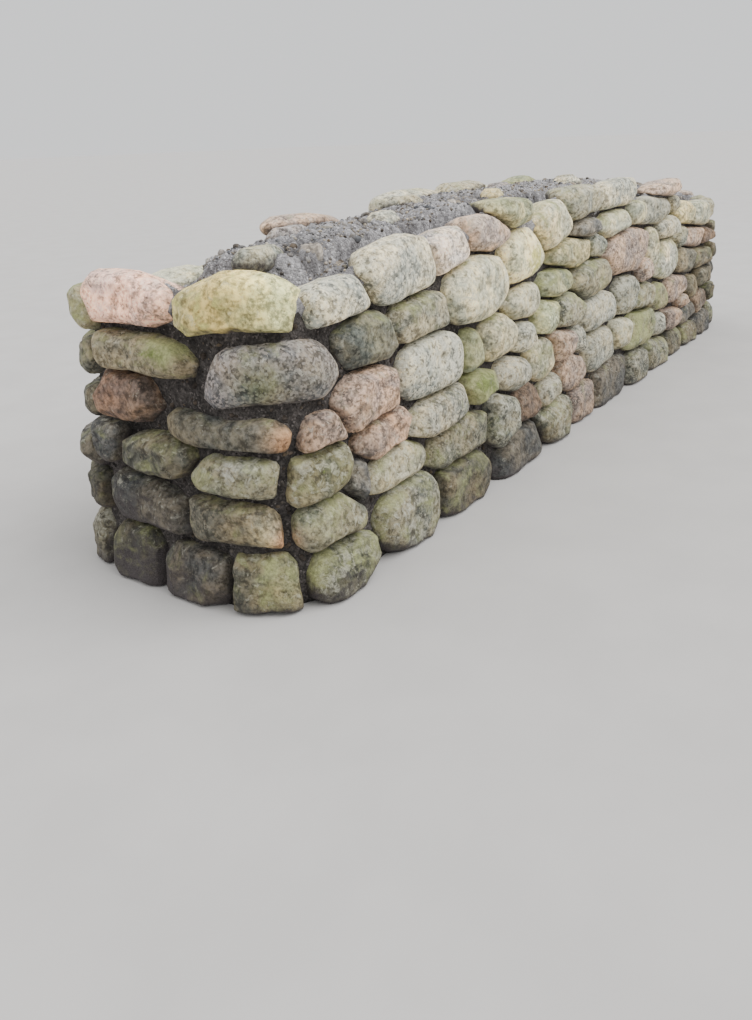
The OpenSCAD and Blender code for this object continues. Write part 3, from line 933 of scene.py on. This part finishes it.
def makePacking():
    loop = 4 * straight.sum() + 2 * math.pi * wall["cornerRadius"]
    count = round(loop / packing["step"])
    levels = round(packing["top"] / packing["rise"])
    bm = bmesh.new()
    ring = bmesh.ops.create_circle(bm, segments=count, radius=1)["verts"]
    ring.sort(key=lambda v: math.atan2(v.co.y, v.co.x))

    def setRing(ring, share, inward=0.0, level=None):
        for k, vert in enumerate(ring):
            x, y = outlinePoint(k / count, packing["middleDepth"] + wall["batter"])
            z = level or share * (rimHeight(x, y) - packing["belowRim"])
            x, y = outlinePoint(k / count, packing["middleDepth"] + wall["batter"] * z)
            vert.co.x, vert.co.y = outlinePoint(k / count, packingDepth(Vector((x, y, z))) + inward)
            vert.co.z = z

    setRing(ring, 0)
    edges = bottom = list(bm.edges)
    for k in range(levels + 1):
        made = bmesh.ops.extrude_edge_only(bm, edges=edges)["geom"]
        fresh = {g for g in made if isinstance(g, bmesh.types.BMVert)}
        edges = [g for g in made if isinstance(g, bmesh.types.BMEdge) and fresh.issuperset(g.verts)]
        ring = [next(e.other_vert(v) for e in v.link_edges if e.other_vert(v) in fresh) for v in ring]
        setRing(ring, min(1, (k + 1) / levels), *(packing["cap"] if k == levels else ()))
    bmesh.ops.contextual_create(bm, geom=bottom)
    bmesh.ops.contextual_create(bm, geom=edges)
    bmesh.ops.recalc_face_normals(bm, faces=bm.faces)
    sortFaces(bm)
    replaced = ["rammed_hearting"]
    addPiece("packed_joint_earth", meshFrom(bm), jointEarth, replaced)


makePacking()
print("joint earth made")

# Crumbly crust over the middle of the wall, lapping on to the backs of the top stones
crust = {
    "cell": 0.0125,
    "wobble": (50, 0.4),  # noise frequency per metre, and share of a cell
    "edgeDepth": 0.07,
    "fall": 1.15,  # how steeply the earth falls between the top stones
    "bottom": (0.12, 0.74),  # how far in its foot stands, and how high
    "swell": (4.0, 0.022),  # noise frequency per metre, and depth in metres
    "clods": ((13.0, 0.014), (31.0, 0.011), (66.0, 0.006)),
    "crease": 0.45,  # share of a clod's height that lies below the earth's own level
    "hollowShade": (0.004, -0.014),  # clod heights between which a hollow darkens with painted shade
    "edgeDrop": 0.012,
    "upFacing": 0.93,
    "samples": 6,
    "evenReach": 0.1,
    "within": 0.999,  # keeps a place at the very edge of the soil inside it
    "lap": (0.125, 0.43),  # depth over which the earth banks up from the stones to its own level
    "bank": 1.6,
    "lift": 0.010,
    "spare": 0.002,  # between the highest clods and the wall's full height
    "depthLevel": 1.0,  # where the depth behind the outer line is taken
    "seed": 1,
}
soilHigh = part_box("topsoil")[1]


def depthAt(x, y):
    return float(depthRows(np.array([(x, y, crust["depthLevel"])]))[0])


# The topsoil without the beds that its flat stones lie in
def filledSoil():
    bm = bmesh.new()
    bm.from_mesh(nodes["topsoil"].data)
    bmesh.ops.remove_doubles(bm, verts=bm.verts, dist=1e-5)
    made = bmesh.ops.convex_hull(bm, input=bm.verts)
    inside = [g for g in made["geom_interior"] if isinstance(g, bmesh.types.BMVert)]
    bmesh.ops.delete(bm, geom=inside, context="VERTS")
    bmesh.ops.recalc_face_normals(bm, faces=bm.faces)
    tree = BVHTree.FromBMesh(bm)
    sides = [f for f in bm.faces if f.normal.z < crust["upFacing"]]
    bmesh.ops.delete(bm, geom=sides, context="FACES")
    bmesh.ops.scale(bm, vec=(1, 1, 0), verts=bm.verts)
    plan = BVHTree.FromBMesh(bm)
    bm.free()
    return tree, plan


soilTree, soilPlan = filledSoil()


# Height of the topsoil at the place on its upper side that is nearest in plan, evened out round about
def soilHeight(x, y):
    heights = []
    for k in range(crust["samples"]):
        turn = 2 * math.pi * k / crust["samples"]
        way = Vector((math.cos(turn), math.sin(turn), 0)) * crust["evenReach"]
        spot = soilPlan.find_nearest(Vector((x, y, 0)) + way)[0] * crust["within"]
        hit = soilTree.ray_cast(Vector((spot.x, spot.y, 2)), down)[0]
        heights.append(hit.z if hit else soilHigh.z)
    return sum(heights) / len(heights)


# Clods stand up round between sharp creases
def clodHeight(x, y):
    swell, depth = crust["swell"]
    height = depth * noise.noise(Vector((x, y, 0.3)) * swell)
    for frequency, depth in crust["clods"]:
        height += depth * (2 * abs(noise.noise(Vector((x, y, 0.3)) * frequency)) - crust["crease"])
    return height


def crustTop(x, y):
    bump = clodHeight(x, y)
    level = soilHeight(x, y) + bump + crust["lift"]
    start, stop = crust["lap"]
    depth = depthAt(x, y)
    share = max(0, min(1, (depth - start) / (stop - start)))
    share = 1 - (1 - share) ** crust["bank"]
    edge = rimHeight(x, y) - crust["edgeDrop"] + 0.5 * bump - max(0, start - depth) * crust["fall"]
    return min(edge + (level - edge) * share, wall["height"] - crust["spare"])


def makeCrust():
    bm = bmesh.new()
    countX = round(wall["length"] / crust["cell"])
    countY = round(wall["thickness"] / crust["cell"])
    bmesh.ops.create_grid(bm, x_segments=countX, y_segments=countY, size=0.5)
    bmesh.ops.scale(bm, vec=(wall["length"], wall["thickness"], 1), verts=bm.verts)
    outside = [v for v in bm.verts if depthAt(v.co.x, v.co.y) < crust["edgeDepth"]]
    bmesh.ops.delete(bm, geom=outside, context="VERTS")
    frequency, share = crust["wobble"]
    noise.seed_set(crust["seed"])  # noise_vector starts from the clock without it
    for v in bm.verts:
        wobble = noise.noise_vector(v.co * frequency) * share * crust["cell"]
        v.co.x += wobble.x
        v.co.y += wobble.y
        v.co.z = crustTop(v.co.x, v.co.y)
    edges = [e for e in bm.edges if len(e.link_faces) == 1]
    made = bmesh.ops.extrude_edge_only(bm, edges=edges)["geom"]
    foot = {g for g in made if isinstance(g, bmesh.types.BMVert)}
    inward, bottom = crust["bottom"]
    for v in foot:
        v.co -= outward(v.co.x, v.co.y) * inward
        v.co.z = bottom
    footEdges = [g for g in made if isinstance(g, bmesh.types.BMEdge) and foot.issuperset(g.verts)]
    bmesh.ops.contextual_create(bm, geom=footEdges)
    bmesh.ops.recalc_face_normals(bm, faces=bm.faces)
    sortFaces(bm)
    piece = addPiece("topsoil_crust", meshFrom(bm), humus, ["topsoil"])
    heights = [clodHeight(v.co.x, v.co.y) for v in piece.data.vertices]
    # painted shade for the hollows between clods, from the clods' heights
    start, stop = crust["hollowShade"]
    writeAttributes(piece.data, [{"hollowShade": np.clip((np.array(heights) - start) / (stop - start), 0, 1)}])
    return piece


crustPiece = makeCrust()
crustTree = BVHTree.FromPolygons([v.co for v in crustPiece.data.vertices],
                                 [p.vertices for p in crustPiece.data.polygons])
print("topsoil crust made")


# Small stones and clods: one rough pebble, laid again and again
pebbleTints = {
    "clod": linear(0.24, 0.22, 0.21),
    "brown": linear(0.36, 0.33, 0.30),
    "dry": linear(0.46, 0.45, 0.45),
    "dusty": linear(0.58, 0.57, 0.57),
    "grey": linear(0.50, 0.48, 0.46),
    "pale": linear(0.68, 0.65, 0.60),
}


def pebbleForm(divisions):
    bm = bmesh.new()
    bmesh.ops.create_icosphere(bm, subdivisions=divisions, radius=1)
    points = np.array([v.co[:] for v in bm.verts])
    corners = np.array([[v.index for v in f.verts] for f in bm.faces])
    bm.free()
    return points, corners


pebble = {
    "stretch": ((0.75, 1.0), (0.6, 1.0), (0.45, 0.8)),
    "dents": (0.82, 0.18, 1.3),  # mean radius, depth and frequency on a pebble of radius 1
    "shade": (0.8, 1.2),
}


# Lays one copy of the form at each place, each with its own turn, stretch and dents, as one mesh
def layPebbles(name, places, divisions, seed):
    points, corners = pebbleForm(divisions)
    draw = random.Random(seed)
    mean, deep, frequency = pebble["dents"]
    allPoints, tints = [], []
    for place, size, tint in places:
        stretch = np.array([draw.uniform(*r) for r in pebble["stretch"]])
        axis = Vector((draw.uniform(-1, 1), draw.uniform(-1, 1), 2)).normalized()
        turn = np.array(Matrix.Rotation(draw.uniform(0, 6.3), 3, axis))
        shift = Vector([draw.uniform(0, 90) for _ in range(3)])
        dents = np.array([mean + deep * noise.noise(Vector(p) * frequency + shift) for p in points])
        allPoints.append(points * dents[:, None] * size * stretch @ turn.T + np.array(place))
        shade = draw.uniform(*pebble["shade"])
        tints.append(np.array(pebbleTints[tint]) * [shade, shade, shade, 1])
    count = len(points)
    allCorners = np.concatenate([corners + k * count for k in range(len(allPoints))])
    mesh = bpy.data.meshes.new("shape")
    mesh.from_pydata(np.concatenate(allPoints), [], allCorners)
    piece = addPiece(name, mesh, dustyPebble)
    writeAttributes(piece.data, [{"tint": np.repeat(np.array(tints), count, axis=0)}])


# What lies loose on the topsoil. Sizes are radii in metres, and lift is how far a pebble's middle lies over
# the earth, as a share of its size. The seeds are for the places and for the shapes.
scatter = [
    {"name": "topsoil_crumbs", "slot": "dark_topsoil", "count": 6000, "sizes": (0.004, 0.012), "lift": 0.15,
     "tints": ["dry", "dusty", "dusty", "grey", "pale"], "divisions": 1, "seeds": (3, 5)},
    {"name": "topsoil_clods", "slot": "dark_topsoil", "count": 420, "sizes": (0.010, 0.028), "lift": 0.0,
     "tints": ["dry", "dusty", "dusty", "brown", "grey"], "divisions": 2, "seeds": (8, 9)},
    {"name": "topsoil_pebbles", "slot": "earth_and_rubble", "count": 110, "sizes": (0.02, 0.07),
     "lift": -0.35, "tints": ["grey", "pale", "dusty", "grey"], "divisions": 3, "seeds": (12, 13)},
]
topArea = {"margin": 0.2, "smallOnes": 2.2, "steepest": 0.4, "stoneReach": 0.4}


def topPlaces(lot):
    draw = random.Random(lot["seeds"][0])
    least, most = lot["sizes"]
    found = []
    lengthX, lengthY = wall["length"] / 2 - topArea["margin"], wall["thickness"] / 2 - topArea["margin"]
    while len(found) < lot["count"]:
        x, y = draw.uniform(-lengthX, lengthX), draw.uniform(-lengthY, lengthY)
        hit = crustTree.ray_cast(Vector((x, y, 2)), down)
        size = least + (most - least) * draw.random() ** topArea["smallOnes"]
        if hit[0] is None or hit[1].z < topArea["steepest"]:
            continue
        spot = Vector((x, y, min(hit[0].z + size * lot["lift"], wall["height"] - size)))
        near = boulderTree.find_nearest(spot, topArea["stoneReach"])
        if near[0] is not None and (near[3] < size or (spot - near[0]).dot(near[1]) < 0):
            continue
        found.append((spot, size, draw.choice(lot["tints"])))
    return found


# Pebbles and crumbs in the packed earth, where there is room for them between the boulders
wedged = {
    "tries": 9000,
    "heights": (0.02, 1.05),
    "sizes": (0.006, 0.024),
    "sunk": 0.15,  # how far each is set back into the earth, as a share of its size
    "stoneReach": 0.2,
    "fit": 0.95,
    "least": 0.004,
    "spacing": (0.75, 0.006),  # share of a pebble's size, and what is added to it
    "leastSpaced": 0.008,
    "tints": ["clod"] * 5 + ["brown"],
    "crumb": 0.012,
    "seed": 21,
}


def jointPlaces():
    draw = random.Random(wedged["seed"])
    found, cells = [], set()
    share, more = wedged["spacing"]
    for _ in range(wedged["tries"]):
        way, z = draw.random(), draw.uniform(*wedged["heights"])
        size = draw.uniform(*wedged["sizes"])
        spot = Vector((*outlinePoint(way, packing["middleDepth"] + wall["batter"] * z), z))
        spot = Vector((*outlinePoint(way, packingDepth(spot) + wedged["sunk"] * size), z))
        if z > rimHeight(spot.x, spot.y) - packing["belowRim"]:
            continue
        near = boulderTree.find_nearest(spot, wedged["stoneReach"])
        if near[0] is None or (spot - near[0]).dot(near[1]) < 0:
            continue
        size = min(near[3] * wedged["fit"], size)
        if size < wedged["least"]:
            continue
        cell = tuple(round(c / (share * max(size, wedged["leastSpaced"]) + more)) for c in spot)
        if cell in cells:
            continue
        cells.add(cell)
        found.append((spot, size, draw.choice(wedged["tints"])))
    return found


for lot in scatter:
    layPebbles(lot["name"], topPlaces(lot), lot["divisions"], lot["seeds"][1])
joints = jointPlaces()
large = [j for j in joints if j[1] > wedged["crumb"]]
small = [j for j in joints if j[1] <= wedged["crumb"]]
layPebbles("packing_stones", large, 2, 22)
layPebbles("packing_crumbs", small, 1, 23)
print("loose stones laid", len(joints))


# Plain pale floor and soft studio light
studio = {
    "floorRadius": 150,
    "floor": linear(0.73, 0.72, 0.71),
    "air": linear(0.95, 0.955, 0.96),
    "airStrength": 1.15,
    "lights": [
        {"from": (0.45, -0.75, 1.1), "softness": 55, "power": 3.2},
        {"from": (-0.3, 0.9, 1.0), "softness": 80, "power": 1.0},
    ],
}


def addStudio():
    bm = bmesh.new()
    bmesh.ops.create_circle(bm, cap_ends=True, segments=96, radius=studio["floorRadius"])
    floor = placeObject("studioFloor", meshFrom(bm))
    material, tree = newMaterial("paleFloor")
    shader = tree.nodes["Principled BSDF"]
    cloud = rangeNode(tree, cloudNode(tree, objectPlace(tree), 3, 3), 0.3, 0.7, 0.97, 1.03)
    tree.links.new(brightened(tree, studio["floor"][:3], cloud), shader.inputs["Base Color"])
    shader.inputs["Roughness"].default_value = 0.9
    floor.data.materials.append(material)
    world = bpy.data.worlds.new("studioAir")
    world.use_nodes = True
    air = world.node_tree.nodes["Background"]
    air.inputs[0].default_value = studio["air"]
    air.inputs[1].default_value = studio["airStrength"]
    bpy.context.scene.world = world
    for k, lamp in enumerate(studio["lights"]):
        data = bpy.data.lights.new(f"softLight{k + 1}", "SUN")
        data.angle = math.radians(lamp["softness"])
        data.energy = lamp["power"]
        light = placeObject(f"softLight{k + 1}", data)
        light.matrix_world = Vector(lamp["from"]).to_track_quat("Z", "Y").to_matrix().to_4x4()


addStudio()
print("studio lit")
